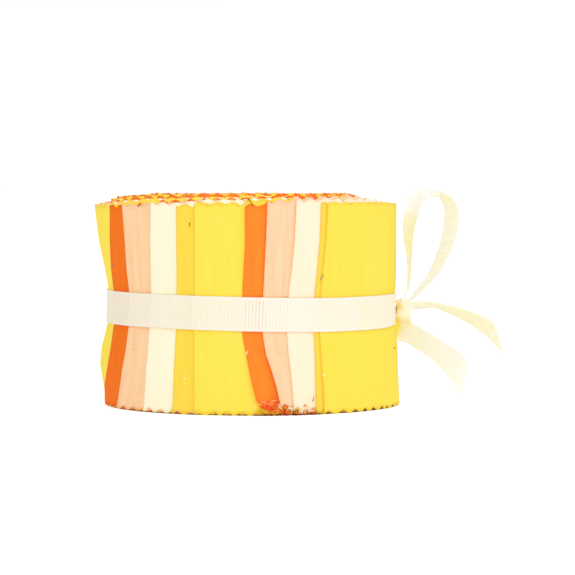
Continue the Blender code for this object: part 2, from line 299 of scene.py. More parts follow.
# %% A pinked edge
def pinked(length, start, cut_depth, seed):
    """The cut of one edge: a function that gives its depth at the lengths along the edge."""
    chance = np.random.default_rng(seed)
    count = int(length / TOOTH_PITCH) + 4
    knots = np.arange(-1, count - 1)
    shift = chance.normal(0, 0.11, count)
    size = chance.normal(1, 0.14, count)

    def depth(along):
        """From 0 at a tooth's tip to the full depth between two teeth."""
        phase = along / TOOTH_PITCH + start
        phase = phase + np.interp(phase, knots, shift)
        away = np.abs(2 * (phase % 1.0) - 1)
        return cut_depth * (0.3 * away + 0.7 * away**2) * np.interp(phase, knots, size)

    return depth


# %% [markdown]
# Every surface here is a grid of points in rows and columns. One helper makes the mesh from it,
# with a UV map in metres along and across the cloth, because the weave must follow the cloth.


# %% From a grid of points to a piece
def add_object(name, data):
    """An object in the scene that shows a mesh, a light or a camera."""
    made = bpy.data.objects.new(name, data)
    scene.collection.objects.link(made)
    return made


def add_mesh(name, points, faces, finish, uv=None):
    """A smooth mesh object with one material. uv, where it is given, is in metres of cloth."""
    mesh = bpy.data.meshes.new(name)
    mesh.from_pydata(points.reshape(-1, 3), [], faces)
    layer = mesh.uv_layers.new(name="Cloth")
    if uv is not None:
        layer.data.foreach_set("uv", uv.astype(np.float32).ravel())
    mesh.shade_smooth()
    mesh.materials.append(finish)
    return add_object(name, mesh)


def grid_piece(name, points, along, across, thickness, finish, closed=False):
    """points has the shape rows, columns, 3. along and across, in metres, become the UV map.

    A closed grid's last column is its first again."""
    rows, columns = points.shape[:2]
    used = columns - 1 if closed else columns
    row, column = np.indices((rows - 1, columns - 1)).reshape(2, -1)
    corners = ((row, column), (row, column + 1), (row + 1, column + 1), (row + 1, column))
    faces = np.stack([r * used + c % used for r, c in corners], axis=1)
    places = np.stack([r * columns + c for r, c in corners], axis=1)
    uv = np.stack([np.broadcast_to(metres, (rows, columns)) for metres in (along, across)], -1)
    uv = uv.reshape(-1, 2)[places.ravel()]
    piece = add_mesh(name, points[:, :used], faces, finish, uv)
    wall = piece.modifiers.new("Thickness", "SOLIDIFY")
    wall.thickness = thickness
    wall.offset = 0.0
    return piece


def polar(angle, radius, height):
    """Points round the roll's axis. Angles go from the front towards the bow."""
    turn, radius, height = np.broadcast_arrays(np.radians(angle), radius, height)
    return np.stack([AXIS_X + radius * np.sin(turn), -radius * np.cos(turn), height], axis=-1)


# %% [markdown]
# Materials are built from small helpers: a node, a step of arithmetic, a clamped ramp, a blend of
# two colours, the free space near a place, and noise drawn out along the threads.

# %% Material helpers
def node(tree, kind, inputs=(), **settings):
    """A node with its settings, and its inputs linked to sockets or set to values."""
    made = tree.nodes.new(kind)
    for key, value in settings.items():
        setattr(made, key, value)
    for place, value in dict(inputs).items():
        if isinstance(value, bpy.types.NodeSocket):
            tree.links.new(value, made.inputs[place])
        else:
            made.inputs[place].default_value = value
    return made


def maths(tree, operation, first, second=0.0):
    """One step of arithmetic on sockets or numbers."""
    return node(tree, "ShaderNodeMath", {0: first, 1: second}, operation=operation).outputs[0]


def ramp(tree, value, start, end, top=1.0, **settings):
    """0 at the start, top at the end, even in between and the same beyond them."""
    limits = {"Value": value, "From Min": start, "From Max": end, "To Max": top}
    return node(tree, "ShaderNodeMapRange", limits, **settings).outputs[0]


def blend(tree, share, first, second):
    """The first colour turned into the second by a share. Each is a socket or three numbers."""
    inputs = {0: share}
    for place, colour in ((6, first), (7, second)):
        linked = isinstance(colour, bpy.types.NodeSocket)
        inputs[place] = colour if linked else (*colour, 1.0)
    return node(tree, "ShaderNodeMix", inputs, data_type="RGBA").outputs[2]


def open_share(tree, distance):
    """How much of the space within a distance is free of other surfaces."""
    kind = "ShaderNodeAmbientOcclusion"
    return node(tree, kind, {"Distance": distance}, samples=4).outputs["AO"]


def new_material(name, colour, roughness, sheen):
    """A Principled material, its node tree and its shader."""
    made = bpy.data.materials.new(name)
    made.use_nodes = True
    tree = made.node_tree
    shader = tree.nodes["Principled BSDF"]
    shader.inputs["Base Color"].default_value = (*colour, 1.0)
    shader.inputs["Roughness"].default_value = roughness
    shader.inputs["Specular IOR Level"].default_value = 0.2
    shader.inputs["Sheen Weight"].default_value = sheen
    shader.inputs["Sheen Roughness"].default_value = 0.5
    return made, tree, shader


def cloth_places(tree):
    """The UV map, and from it the metres along the cloth and across it."""
    cloth = node(tree, "ShaderNodeUVMap", uv_map="Cloth").outputs[0]
    metres = node(tree, "ShaderNodeSeparateXYZ", {0: cloth})
    return cloth, metres.outputs[0], metres.outputs[1]


def thread_noise(tree, cloth, lengthwise, crosswise, detail=1.0):
    """Noise drawn out along one thread direction: so many changes a metre each way."""
    scale = (lengthwise, crosswise, 1.0)
    placed = node(tree, "ShaderNodeMapping", {"Vector": cloth, "Scale": scale}).outputs[0]
    inputs = {"Vector": placed, "Scale": 1.0, "Detail": detail}
    return node(tree, "ShaderNodeTexNoise", inputs).outputs[0]


# %% [markdown]
# Quilting cotton is a plain weave, here of 26 threads to the centimetre both ways. The UV map
# gives the two thread directions, one over the other in a chequerboard, for the bump, and long
# soft streaks along the threads for the colour. The darker channels of a colour vary more.
#
# Where another surface is near, the colour is painted deeper as shade and gets a painted glow.
# The turns wound in get a painted glow too, except the orange ones. The bottom edge gets no
# painted glow and stays dark.

# %% Cotton
THREAD_PITCH = 0.00038
THREAD_SWAY = 4.0
STREAKS = 130.0
SLUBS = (450.0, 35.0, 3.0)
# Reach of the painted crease shade and glow, the glows' strength, and how much deeper the shade
# is.
CREASE = 0.0014
INNER_CREASE = 0.0004
PAINTED_CREASE_GLOW = 0.25
SHADE_DEEPENING = 1.9
PAINTED_INSIDE_GLOW = 0.22
COVERED_FROM = 0.220
FOOT_DARK = 0.0018
SWING_LIMITS = (0.1, 0.3, 0.5)
SWINGS = np.array((10.0, 5.0, 2.0, 1.0))


def cotton(name, colour, shade, crease=CREASE, inside=COVERED_FROM):
    """Plain-woven cotton in one colour. shade is how much the threads differ in brightness.

    Within crease of another surface its colour is painted deeper as shade, with a painted glow.
    From about the length inside on, the strip is wound in and gets a painted glow, except the
    orange ones, which lose their crease glow there."""
    made, tree, shader = new_material(name, colour, 0.9, 0.0)
    colour = np.array(colour)
    cloth, along, across = cloth_places(tree)
    warp_threads = thread_noise(tree, cloth, STREAKS, 1 / THREAD_PITCH)
    weft_threads = thread_noise(tree, cloth, 1 / THREAD_PITCH, STREAKS)
    slubs = thread_noise(tree, cloth, *SLUBS)
    grains = []
    for metre, wander in ((along, weft_threads), (across, warp_threads)):
        turns = maths(tree, "MULTIPLY", metre, math.pi / THREAD_PITCH)
        swayed = maths(tree, "ADD", turns, maths(tree, "MULTIPLY", wander, THREAD_SWAY))
        grains.append(maths(tree, "ABSOLUTE", maths(tree, "SINE", swayed)))
    threads = maths(tree, "ADD", warp_threads, weft_threads)
    height = maths(tree, "ADD", maths(tree, "MULTIPLY", grains[0], grains[1]), threads)
    mixed = maths(tree, "ADD", maths(tree, "MULTIPLY", threads, 0.5), slubs)
    swing = SWINGS[np.searchsorted(SWING_LIMITS, colour)]
    low = colour * (1 - shade) ** swing
    high = np.minimum(1.0, colour * (1 + shade * 0.5 * swing))
    open_cloth = blend(tree, ramp(tree, mixed, 0.55, 1.45), low, high)
    brightest = max(colour)
    # Painted shade: the colour deepens where another surface is near.
    crease_shade = min(0.95, 1.12 * brightest) * (colour / brightest) ** SHADE_DEEPENING
    free = open_share(tree, crease)
    shown = blend(tree, free, crease_shade, open_cloth)
    # Painted light: a glow near other surfaces, none at the foot, and on the wound-in turns.
    glow = maths(tree, "MULTIPLY", maths(tree, "SUBTRACT", 1.0, free), PAINTED_CREASE_GLOW)
    glow = maths(tree, "MULTIPLY", glow, maths(tree, "GREATER_THAN", across, FOOT_DARK))
    wound_in = ramp(tree, along, inside - 0.04, inside + 0.03)
    if "orange" in name:
        glow = maths(tree, "MULTIPLY", glow, maths(tree, "SUBTRACT", 1.0, wound_in))
    else:
        glow = maths(tree, "ADD", glow, maths(tree, "MULTIPLY", wound_in, PAINTED_INSIDE_GLOW))
    bump = node(tree, "ShaderNodeBump", {"Height": height, "Strength": 0.12, "Distance": 0.00008})
    tree.links.new(shown, shader.inputs["Base Color"])
    tree.links.new(shown, shader.inputs["Emission Color"])
    tree.links.new(glow, shader.inputs["Emission Strength"])
    tree.links.new(bump.outputs[0], shader.inputs["Normal"])
    return made


COTTONS = {
    # linear colours of the cloth
    "orange_deep": (0.82, 0.162, 0.003),
    "peach": (0.905, 0.586, 0.341),
    "cream": (0.89, 0.825, 0.605),
    "gold": (0.85, 0.615, 0.064),
    "yellow": (0.83, 0.673, 0.081),
    "orange": (0.857, 0.225, 0.02),
    "peach_warm": (0.845, 0.56, 0.35),
    "cream_warm": (0.889, 0.73, 0.542),
    "gold_light": (0.79, 0.576, 0.07),
    "yellow_outer": (0.80, 0.628, 0.072),
}
finishes = {
    name: cotton("cotton_" + name, colour, 0.17 if "peach" in name else 0.05)
    for name, colour in COTTONS.items()
}
inner_finishes = {}
fray_finishes = {}
for name, colour in COTTONS.items():
    # Copies for the inner turns, painted lighter (the orange ones painted darker), with a shorter
    # painted crease shade.
    painted_light_scale = 0.85 if "orange" in name else 1.12
    inside = tuple(min(0.95, painted_light_scale * c) for c in colour)
    inner_finishes[name] = cotton("cotton_inner_" + name, inside, 0.05, INNER_CREASE, -1.0)
    # The fray's thread ends are paler than their cloth: a painted highlight.
    painted_pale = tuple(0.7 * c + 0.27 for c in colour)
    fray_finishes[name] = new_material("fray_" + name, painted_pale, 0.9, 0.0)[0]
print(len(finishes) + len(inner_finishes), "cottons")

# %% [markdown]
# One strip is a sheet wound along its track: lengths along it by levels across it. Its edges
# follow the teeth. Near its cut end it leans as the end leans, stands a little higher, and its
# corners come away from the roll. Its foot slid up only as far as a top 2 mm further out. Under
# the next strip it stands a little off the floor, so the notches of the outermost foot are dark.
# The tenth strip lies outside for most of a turn, so it has fine steps for longest.

# %% Wind one strip
OUTER_LEVELS = np.array((
    0, 2.0, 7.0, 13.0, 18.5, 23.0, 26.5, 30.2, 34.0, 38.0, 44.0, 52.0, 61.7, 63.9
)) * MM
INNER_LEVELS = np.array((0, 2.0, 31.0, 61.7, 63.9)) * MM
STRIP_GAP = 0.001
FINE_LENGTHS = (0.12,) * (STACK - 1) + (0.30,)
FOOT_LAG = 0.0020
FOOT_RAISE = 0.00025
LEAN_FADE = 0.05
FOOT_FADE = 0.019
FOOT_REACH = 0.018
CURL_FADE = 0.0030
STAND_OFF = 0.00008
LIFT_FROM = 0.035
LIFT_REACH = 0.025
WAIST_ZONE = 0.008


def strip_lengths(length, fine_length):
    """Lengths along a strip: eight steps a tooth near its start and four after that."""
    fine = np.arange(0, fine_length, TOOTH_PITCH / 8)
    rest = np.arange(fine[-1] + TOOTH_PITCH / 8, length - TOOTH_PITCH / 8, TOOTH_PITCH / 4)
    return np.concatenate([fine, rest, [length]])


def strip_surface(strip, begin, along, level, across):
    """Points of a strip at lengths along it. level is the place across the uncut strip, and
    across is the same with the teeth cut off."""
    extra, short, curl_top, curl_foot = STRIP_DETAILS[strip][1:5]
    angle, ideal = track(strip, WAIST_ANGLES[strip], begin + along)
    top_slide = slid(ideal, angle, extra * MM)
    next_end = END_ANGLES[(strip + 1) % STACK][0] + 360.0 * (strip == STACK - 1)
    raised = FOOT_RAISE * np.clip((angle - next_end) / 3.0, 0, 1)
    foot_slide = slid(ideal + FOOT_LAG, angle, extra * MM) + raised
    height = across + foot_slide + (top_slide - foot_slide) * level / STRIP_WIDTH
    if begin:
        return polar(angle, real_radius(ideal, angle, height), height)
    fade = np.exp(-((along / LEAN_FADE) ** 2))
    angle = angle + (end_angle(strip, height) - WAIST_ANGLES[strip]) * fade
    lift = np.interp(along, LIFT_LENGTHS, LIFTS[strip])
    height = height + lift * np.clip((level - LIFT_FROM) / LIFT_REACH, 0, 1)
    low = np.clip(1 - level / FOOT_REACH, 0, 1)
    height = height + short * MM * np.exp(-along / FOOT_FADE) * low
    upward = np.clip((height - WAIST - WAIST_ZONE) / 0.025, 0, 1)
    downward = np.clip((WAIST - WAIST_ZONE - height) / 0.022, 0, 1)
    curl = (curl_top * upward + curl_foot * downward) * MM
    off_wall = (STAND_OFF + curl) * np.exp(-along / CURL_FADE)
    return polar(angle, real_radius(ideal, angle, height) + off_wall, height)


# %% [markdown]
# A pinked edge still frays: thread ends stand out of it. Each one is a thin tube with three
# sides that bends at random. All the ends of one strip are one mesh.

# %% Loose thread ends
THREAD_RINGS = 3
THREAD_SIDES = 3
THREAD_BEND = 0.35
FRAY_LENGTH = 0.45
FRAY_THREADS = 5
FRAY_THICKNESS = 0.00015


def unit(vectors):
    """The same directions with the length one."""
    return vectors / np.linalg.norm(vectors, axis=-1, keepdims=True)


def thread_tubes(starts, directions, lengths, thickness, chance):
    """A tube from each start in its direction, with a bend that grows as the square of the length.

    The points have the shape threads, rings, sides, 3."""
    count = len(starts)
    step = np.linspace(0, 1, THREAD_RINGS)[None, :, None]
    bend = chance.normal(0, THREAD_BEND, (count, 1, 3))
    path = directions[:, None] * step + bend * step**2
    middle = starts[:, None] + lengths[:, None, None] * path
    aside = unit(np.cross(directions, chance.normal(0, 1, (count, 3))))
    other = np.cross(directions, aside)
    turn = np.linspace(0, 2 * math.pi, THREAD_SIDES, endpoint=False)[:, None]
    ring = aside[:, None] * np.cos(turn) + other[:, None] * np.sin(turn)
    radius = thickness / 2 * (1 - 0.5 * step)
    points = middle[:, :, None] + radius[..., None] * ring[:, None]
    points[..., 2] = np.maximum(points[..., 2], 0.05 * MM)
    return points


def thread_piece(name, tubes, finish):
    """One mesh of all the tubes."""
    points = np.concatenate(tubes)
    thread, level, side = np.indices((len(points), THREAD_RINGS - 1, THREAD_SIDES))
    here = (thread * THREAD_RINGS + level) * THREAD_SIDES
    there = here + THREAD_SIDES
    after = (side + 1) % THREAD_SIDES
    faces = np.stack([here + side, here + after, there + after, there + side], -1)
    piece = add_mesh(name, points, faces.reshape(-1, 4), finish)
    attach(piece, "root")
    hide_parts("strip_roll")
    return piece


def outward(points):
    """Directions away from the roll's axis."""
    return unit((points - np.array((AXIS_X, 0, 0))) * np.array((1, 1, 0)))


def edge_fray(name, strip, top_cut, finish):
    """Thread ends along the top edge, some five to a tooth."""
    chance = np.random.default_rng(500 + strip)
    count = int(FRAY_LENGTH / TOOTH_PITCH * FRAY_THREADS)
    along = np.sort(chance.uniform(0.0005, FRAY_LENGTH, count))
    edge = STRIP_WIDTH - top_cut(along) - 0.1 * MM
    starts = strip_surface(strip, 0.0, along, np.full_like(along, STRIP_WIDTH), edge)
    lean = chance.normal(0, 0.6, (len(along), 3)) * np.array((1, 1, 0.2))
    directions = unit(np.array((0, 0, 1.0)) + lean + 0.2 * outward(starts))
    lengths = chance.uniform(0.2, 0.6, len(along)) * MM
    tubes = thread_tubes(starts, directions, lengths, FRAY_THICKNESS, chance)
    return thread_piece(name, [tubes], finish)


# %% Wind the strips
def wind_strip(name, strip, begin, length, levels):
    """The sheet of one strip, with the fray of its top edge on the outer ones."""
    outer = begin == 0
    colour, start_top, start_foot = (STRIP_DETAILS[strip][i] for i in (0, 5, 6))
    seed = 2 * strip + 40 * outer
    top_cut = pinked(length, start_top, TOP_CUT if outer else INNER_CUT, seed)
    foot_cut = pinked(length, start_foot, FOOT_CUT, seed + 1)
    along = strip_lengths(length, FINE_LENGTHS[strip] if outer else STRIP_GAP)[None, :]
    level = levels[:, None]
    across = level + foot_cut(along) * (level == levels[0])
    across = across - top_cut(along) * (level == levels[-1])
    points = strip_surface(strip, begin, along, level, across)
    finish = (finishes if outer else inner_finishes)[colour]
    piece = grid_piece(name, points, along, across, CLOTH_THICKNESS, finish)
    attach(piece, "root")
    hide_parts("strip_roll")
    fray = [edge_fray("fray_" + name, strip, top_cut, fray_finishes[colour])] if outer else []


for strip, row in enumerate(STRIP_DETAILS):
    half = half_track(strip)
    wind_strip(f"strip_outer_{strip + 1}_{row[0]}", strip, 0.0, half - STRIP_GAP, OUTER_LEVELS)
    wind_strip(f"strip_inner_{strip + 1}_{row[0]}", strip, half, half, INNER_LEVELS)
print("wound", 2 * STACK, "strips")

# %% [markdown]
# At the foot of the second orange strip the cloth is torn rather than cut. Its threads hang out
# in tufts, and so do some of its neighbours'. One table says where and how many, another gives
# the stray fibres on the wall, and near-black ones along the foot at the floor are a painted
# contact shadow. Some tufts are painted highlights or painted shade, and every loose thread has a
# faint painted glow. All the threads of one colour are one mesh.

# %% Torn corner and lint
STRAY_COLOURS = {
    # linear colours of loose threads
    "red": (0.90, 0.12, 0.03),
    "dark_red": (0.45, 0.03, 0.008),
    "rust": (0.95, 0.27, 0.06),
    "pale": (0.96, 0.82, 0.60),
    "olive": (0.85, 0.58, 0.03),
    "black": (0.03, 0.02, 0.015),
    "grey": (0.22, 0.25, 0.30),
    "white": (0.95, 0.93, 0.90),
    "peach": (0.96, 0.50, 0.20),
    "brown": (0.45, 0.08, 0.03),
    "foot": (0.05, 0.012, 0.004),
}
# Painted light: every loose thread glows a little.
PAINTED_THREAD_GLOW = 0.12
TUFT_THICKNESS = 0.00042
LINT_THICKNESS = 0.00038
stray_finishes = {}
for name, colour in STRAY_COLOURS.items():
    finish, _, shader = new_material("thread_" + name, colour, 0.9, 0.0)
    shader.inputs["Emission Color"].default_value = (*colour, 1.0)
    shader.inputs["Emission Strength"].default_value = PAINTED_THREAD_GLOW
    stray_finishes[name] = finish
# The pale and peach tufts are painted highlights, the olive ones painted shade on yellow threads,
# and the dark red rows at 0.1 to 0.2 mm a painted contact shadow.
TUFTS = (
    # colour, angle, height and half spread in mm, threads
    ("olive", 4.2, 1.2, 0.9, 16),
    ("olive", 6.2, 0.9, 0.9, 16),
    ("olive", 9.2, 0.8, 0.9, 12),
    ("red", 5.2, 2.9, 0.6, 14),
    ("red", 6.4, 3.1, 0.6, 16),
    ("red", 7.5, 2.6, 0.7, 26),
    ("red", 8.7, 2.0, 0.8, 26),
    ("red", 9.9, 2.6, 0.6, 16),
    ("rust", 5.4, 3.8, 0.6, 12),
    ("rust", 7.2, 3.8, 0.7, 12),
    ("rust", 9.4, 3.6, 0.6, 12),
    ("rust", 10.6, 1.7, 0.6, 12),
    ("peach", 4.6, 3.6, 0.4, 5),
    ("peach", 5.8, 4.4, 0.4, 6),
    ("peach", 8.4, 4.3, 0.4, 5),
    ("pale", 11.4, 3.1, 0.4, 7),
    ("pale", 12.4, 3.9, 0.4, 6),
    ("pale", 14.4, 3.8, 0.4, 6),
    ("pale", 15.2, 2.2, 0.4, 8),
    ("pale", 16.2, 2.0, 0.4, 6),
    ("rust", 13.3, 2.9, 0.5, 16),
    ("red", 12.4, 1.1, 0.6, 14),
    ("red", 14.9, 0.8, 0.6, 8),
    ("dark_red", 13.6, 1.6, 0.35, 4),
    ("dark_red", 16.7, 1.2, 0.35, 4),
    ("red", 17.6, 0.6, 0.5, 6),
    ("olive", 19.0, 2.0, 0.35, 4),
    ("rust", 20.8, 3.0, 0.2, 5),
    ("rust", 24.2, 1.8, 0.25, 5),
    ("pale", 19.4, 1.0, 0.6, 6),
    ("pale", 21.4, 1.3, 0.6, 6),
    ("pale", 23.4, 1.3, 0.5, 6),
    ("red", 21.8, 0.6, 0.5, 7),
    ("red", 24.4, 0.5, 0.5, 8),
    *(("dark_red", angle, 0.1, 1.2, 9) for angle in (4.5, 7.5, 10.5, 13.5)),
    ("dark_red", 17.0, 0.1, 1.2, 8),
    ("dark_red", 20.5, 0.1, 1.2, 8),
    ("dark_red", 24.0, 0.2, 1.0, 12),
)
LINT = (
    # colour, angle and height of one end, how far it goes sideways and up, in mm
    ("black", -42.4, 63.6, 0.7, 1.0),
    ("black", -20.8, 58.6, 0.3, -1.1),
    ("black", -2.4, 65.7, 0.9, 0.1),
    ("black", 0.0, 65.9, 1.7, -1.5),
    ("black", 6.0, 67.3, 0.7, 0.0),
    ("grey", -65.0, 44.7, 0.4, 0.5),
    ("grey", 27.7, 41.2, 0.6, 1.1),
    ("grey", 14.0, 36.0, 0.6, 0.2),
    ("black", 71.0, 18.8, 0.4, -0.5),
    ("white", -23.0, 20.6, 0.6, 0.3),
    ("white", -23.6, 11.3, 0.5, -0.3),
    ("white", -0.5, 18.8, 0.1, 0.9),
    ("white", 27.6, 12.4, 0.7, -1.2),
    ("white", -11.2, 59.0, 0.6, -0.2),
    ("brown", 24.0, 4.1, 0.3, 1.0),
)


def tuft(number, row):
    """Threads of about a millimetre that start and point anywhere round a place on the wall."""
    angle, height, spread, count = row[1:]
    chance = np.random.default_rng(700 + number)
    sideways = np.degrees(chance.normal(0, spread / 2, count) * MM / ROLL_RADIUS)
    high = np.maximum(height + chance.normal(0, spread / 2, count), 0.2) * MM
    angles = angle + sideways
    off = chance.uniform(0.1, 0.5, count) * MM
    starts = polar(angles, wall_radius(angles, high) + off, high)
    directions = unit(chance.normal(0, 1, (count, 3)) * np.array((1, 0.3, 0.6)))
    lengths = chance.uniform(0.5, 1.1, count) * MM
    return thread_tubes(starts, directions, lengths, TUFT_THICKNESS, chance)


def lint(number, row):
    """One stray fibre that lies against the wall."""
    angle, height, sideways, upward = row[1:]
    chance = np.random.default_rng(900 + number)
    angles = np.array((angle,))
    high = np.array((height,)) * MM
    start = polar(angles, wall_radius(angles, high) + 0.6 * MM, high)
    along = np.cross(np.array((0, 0, 1.0)), outward(start))
    way = along * sideways + np.array((0, 0, upward))
    length = np.linalg.norm(way, axis=1) * MM
    return thread_tubes(start, unit(way), length, LINT_THICKNESS, chance)


# The near-black "foot" threads along the floor line are a painted contact shadow.
strays = LINT + tuple(("foot", angle, 0.25, 1.2, 0.0) for angle in np.arange(3.0, 26.5, 1.1))
for kind, make, rows in (("tufts", tuft, TUFTS), ("lint", lint, strays)):
    for colour in dict.fromkeys(row[0] for row in rows):
        tubes = [make(number, row) for number, row in enumerate(rows) if row[0] == colour]
        thread_piece(f"{kind}_{colour}", tubes, stray_finishes[colour])
print(sum(row[4] for row in TUFTS), "threads in tufts and", len(LINT), "fibres of lint")

# %% [markdown]
# The ribbon is a grosgrain: ribs run across it and end in a plain selvedge at both edges. The
# cloth under it shows through the fine gaps between the ribs. The ribs are in the mesh, and a
# wave along the UV map puts the gap's colour into their valleys. On the band that colour changes
# from strip to strip, so it comes from a colour ramp.

# %% Ribbon material
BAND_RIBS = 276
BAND_LENGTH = BAND_RIBS * RIB_PITCH
RIB_SKEW = -0.05
RIBBON_COLOUR = (0.81, 0.765, 0.655)
FIBRES = (500.0, 3600.0, 2.0)
SOFT_WEAR = (90.0, 60.0)
FOLD = 0.002
PAINTED_FOLD_GLOW = 0.22
BOW_GLOW = 0.0012
CLOTH_SEEN = 0.55


def colour_ramp(tree, value, stops, interpolation):
    """A colour for each place from 0 to 1, from pairs of place and colour."""
    made = node(tree, "ShaderNodeValToRGB", {0: value})
    made.color_ramp.interpolation = interpolation
    elements = made.color_ramp.elements
    elements.remove(elements[1])
    elements[0].position = stops[0][0]
    elements[0].color = (*stops[0][1], 1.0)
    for place, colour in stops[1:]:
        elements.new(place).color = (*colour, 1.0)
    return made.outputs[0]


def painted_shadow_spot(tree, cloth, tint, middle, half, colour):
    """A tint with a painted shadow: a soft spot of another colour, by its middle and half size on
    the UV map.
    """
    off = cloth
    for operation, amount in (("SUBTRACT", middle), ("DIVIDE", half)):
        off = node(tree, "ShaderNodeVectorMath", {0: off, 1: amount}, operation=operation)
        off = off.outputs[0]
    off = node(tree, "ShaderNodeVectorMath", {0: off}, operation="LENGTH").outputs["Value"]
    spot = ramp(tree, off, 1.0, 0.3, interpolation_type="SMOOTHSTEP")
    return blend(tree, spot, tint, colour)


def ribbon_material(name, gaps, gap_share, tints, glow, painted_shadows=(), fold=0.0):
    """gaps and tints hold, as pairs, where along the ribbon a colour starts, and the colour.
    gap_share is how much of a gap's colour shows.

    glow is how far light spreads inside the ribbon, in metres, or 0 where it lies on the roll.
    Within fold of another surface, a painted glow is added."""
    made, tree, shader = new_material(name, RIBBON_COLOUR, 0.55, 0.2)
    cloth, along, across = cloth_places(tree)
    skewed = maths(tree, "ADD", along, maths(tree, "MULTIPLY", across, RIB_SKEW))
    wave = maths(tree, "COSINE", maths(tree, "MULTIPLY", skewed, 2 * math.pi / RIB_PITCH))
    off_middle = maths(tree, "ABSOLUTE", maths(tree, "SUBTRACT", across, RIBBON_WIDTH / 2))
    start = RIBBON_WIDTH / 2 - SELVEDGE
    inside = ramp(tree, off_middle, start, start - SELVEDGE / 2)
    fibres = thread_noise(tree, cloth, *FIBRES)
    soft = thread_noise(tree, cloth, *SOFT_WEAR)
    strength = maths(tree, "MULTIPLY", inside, maths(tree, "ADD", soft, 0.35))
    strength = maths(tree, "MULTIPLY", strength, gap_share)
    gap = maths(tree, "MULTIPLY", ramp(tree, wave, 0.35, 1.0), strength)
    share = maths(tree, "DIVIDE", along, BAND_LENGTH)
    gap_colour = colour_ramp(tree, share, gaps, "CONSTANT")
    # Painted light and shade: the tints along the ribbon, and its painted shadow spots.
    tint = colour_ramp(tree, share, tints, "LINEAR")
    for middle, half, colour in painted_shadows:
        tint = painted_shadow_spot(tree, cloth, tint, middle, half, colour)
    darker = blend(tree, 0.03, tint, (0.0, 0.0, 0.0))
    shown = blend(tree, gap, blend(tree, fibres, darker, tint), gap_colour)
    bump = node(tree, "ShaderNodeBump", {"Height": fibres, "Strength": 0.2, "Distance": 0.00004})
    tree.links.new(shown, shader.inputs["Base Color"])
    tree.links.new(bump.outputs[0], shader.inputs["Normal"])
    # Painted light: a glow near other surfaces.
    if fold:
        closed = maths(tree, "SUBTRACT", 1.0, open_share(tree, fold))
        passed = maths(tree, "MULTIPLY", closed, PAINTED_FOLD_GLOW)
        tree.links.new(shown, shader.inputs["Emission Color"])
        tree.links.new(passed, shader.inputs["Emission Strength"])
    if glow:
        shader.inputs["Subsurface Weight"].default_value = 1.0
        shader.inputs["Subsurface Radius"].default_value = (1.0, 0.95, 0.75)
        shader.inputs["Subsurface Scale"].default_value = glow
    return made


def seen_through(colour):
    """A cloth's colour through the gap: the ribbon's colour with a share of the cloth's."""
    return tuple(
        r * (1 - CLOTH_SEEN) + c * CLOTH_SEEN * 0.9 for r, c in zip(RIBBON_COLOUR, colour)
    )


band_gaps = [
    ((angle - FIRST_END) / 360.0, seen_through(COTTONS[row[0]]))
    for angle, row in zip(WAIST_ANGLES, STRIP_DETAILS)
]
BAND_TINTS = (
    # angle, then the ribbon's colour there, painted light and shade: darkest on the left side
    (-70.6, (0.77, 0.727, 0.577)),
    (-41.0, (0.82, 0.76, 0.611)),
    (0.0, (0.808, 0.763, 0.655)),
    (45.0, (0.79, 0.722, 0.607)),
    (80.0, (0.78, 0.70, 0.555)),
    (180.0, (0.77, 0.70, 0.57)),
    (270.0, (0.73, 0.696, 0.55)),
    (289.0, (0.77, 0.727, 0.577)),
)
band_tints = [((angle - FIRST_END) / 360.0, colour) for angle, colour in BAND_TINTS]
band_finish = ribbon_material("ribbon_band", band_gaps, 0.8, band_tints, 0.0)

# %% [markdown]
# The band is a closed ring of ribs. It lies on the highest of the strips near it, because a tight
# ribbon spans the small steps between them. At the knot it gathers from both edges.

# %% Ribs and the band
RIB_STEPS = 6
KNOT_ANGLE = 92.0
BAND_CROWN = 0.00010
GATHERING = (
    # how far the lower edge rises and the upper one drops at the knot, over how many degrees
    (0.0029, 14.0),
    (0.0015, 6.0),
)
WAIST_LINE = np.array((
    # angle, height of the ribbon's middle in mm
    (-90.0, 31.7),
    (-41.0, 31.4),
    (-20.0, 31.15),
    (0.0, 30.8),
    (15.0, 30.55),
    (31.0, 30.3),
    (51.0, 30.4),
    (75.0, 30.45),
    (90.0, 30.3),
    (135.0, 30.2),
    (180.0, 30.6),
    (225.0, 31.2),
    (270.0, 31.7),
))


def across_levels():
    """Places across the ribbon: close together at the selvedges, from 0 to 1."""
    edge = SELVEDGE / RIBBON_WIDTH
    half = np.array((0, edge * 0.5, edge, edge * 1.4, 0.3))
    return np.concatenate([half, [0.5], 1 - half[::-1]])


def rib_relief(along, share):
    """Height of the ribs: a sine's size to the power 0.7 along the ribbon, flat at its edges."""
    edge = SELVEDGE / RIBBON_WIDTH
    inside = np.clip((np.minimum(share, 1 - share) - edge) / (edge * 0.4), 0, 1)
    skewed = along + RIB_SKEW * share * RIBBON_WIDTH
    wave = np.abs(np.sin(math.pi * skewed / RIB_PITCH)) ** 0.7
    return RIB_HEIGHT * (wave * inside + 0.5 * (1 - inside))


def waist_height(angle, offset):
    """Height of a line round the waist, from the table and smoothed over twelve degrees."""
    line = sum(
        np.interp((angle + turn + 90.0) % 360.0 - 90.0, WAIST_LINE[:, 0], WAIST_LINE[:, 1])
        for turn in (-6.0, -2.0, 2.0, 6.0)
    )
    return line / 4 * MM + offset


def band_radius(angle, height):
    """The largest wall radius within two degrees, smoothed over three."""
    window = np.arange(-3.5, 3.6, 0.25)
    near = angle[..., None] + window
    wall = wall_radius(near, height[..., None])
    highest = np.stack([wall[..., i : i + 17].max(-1) for i in range(12)], -1)
    return highest.mean(-1)


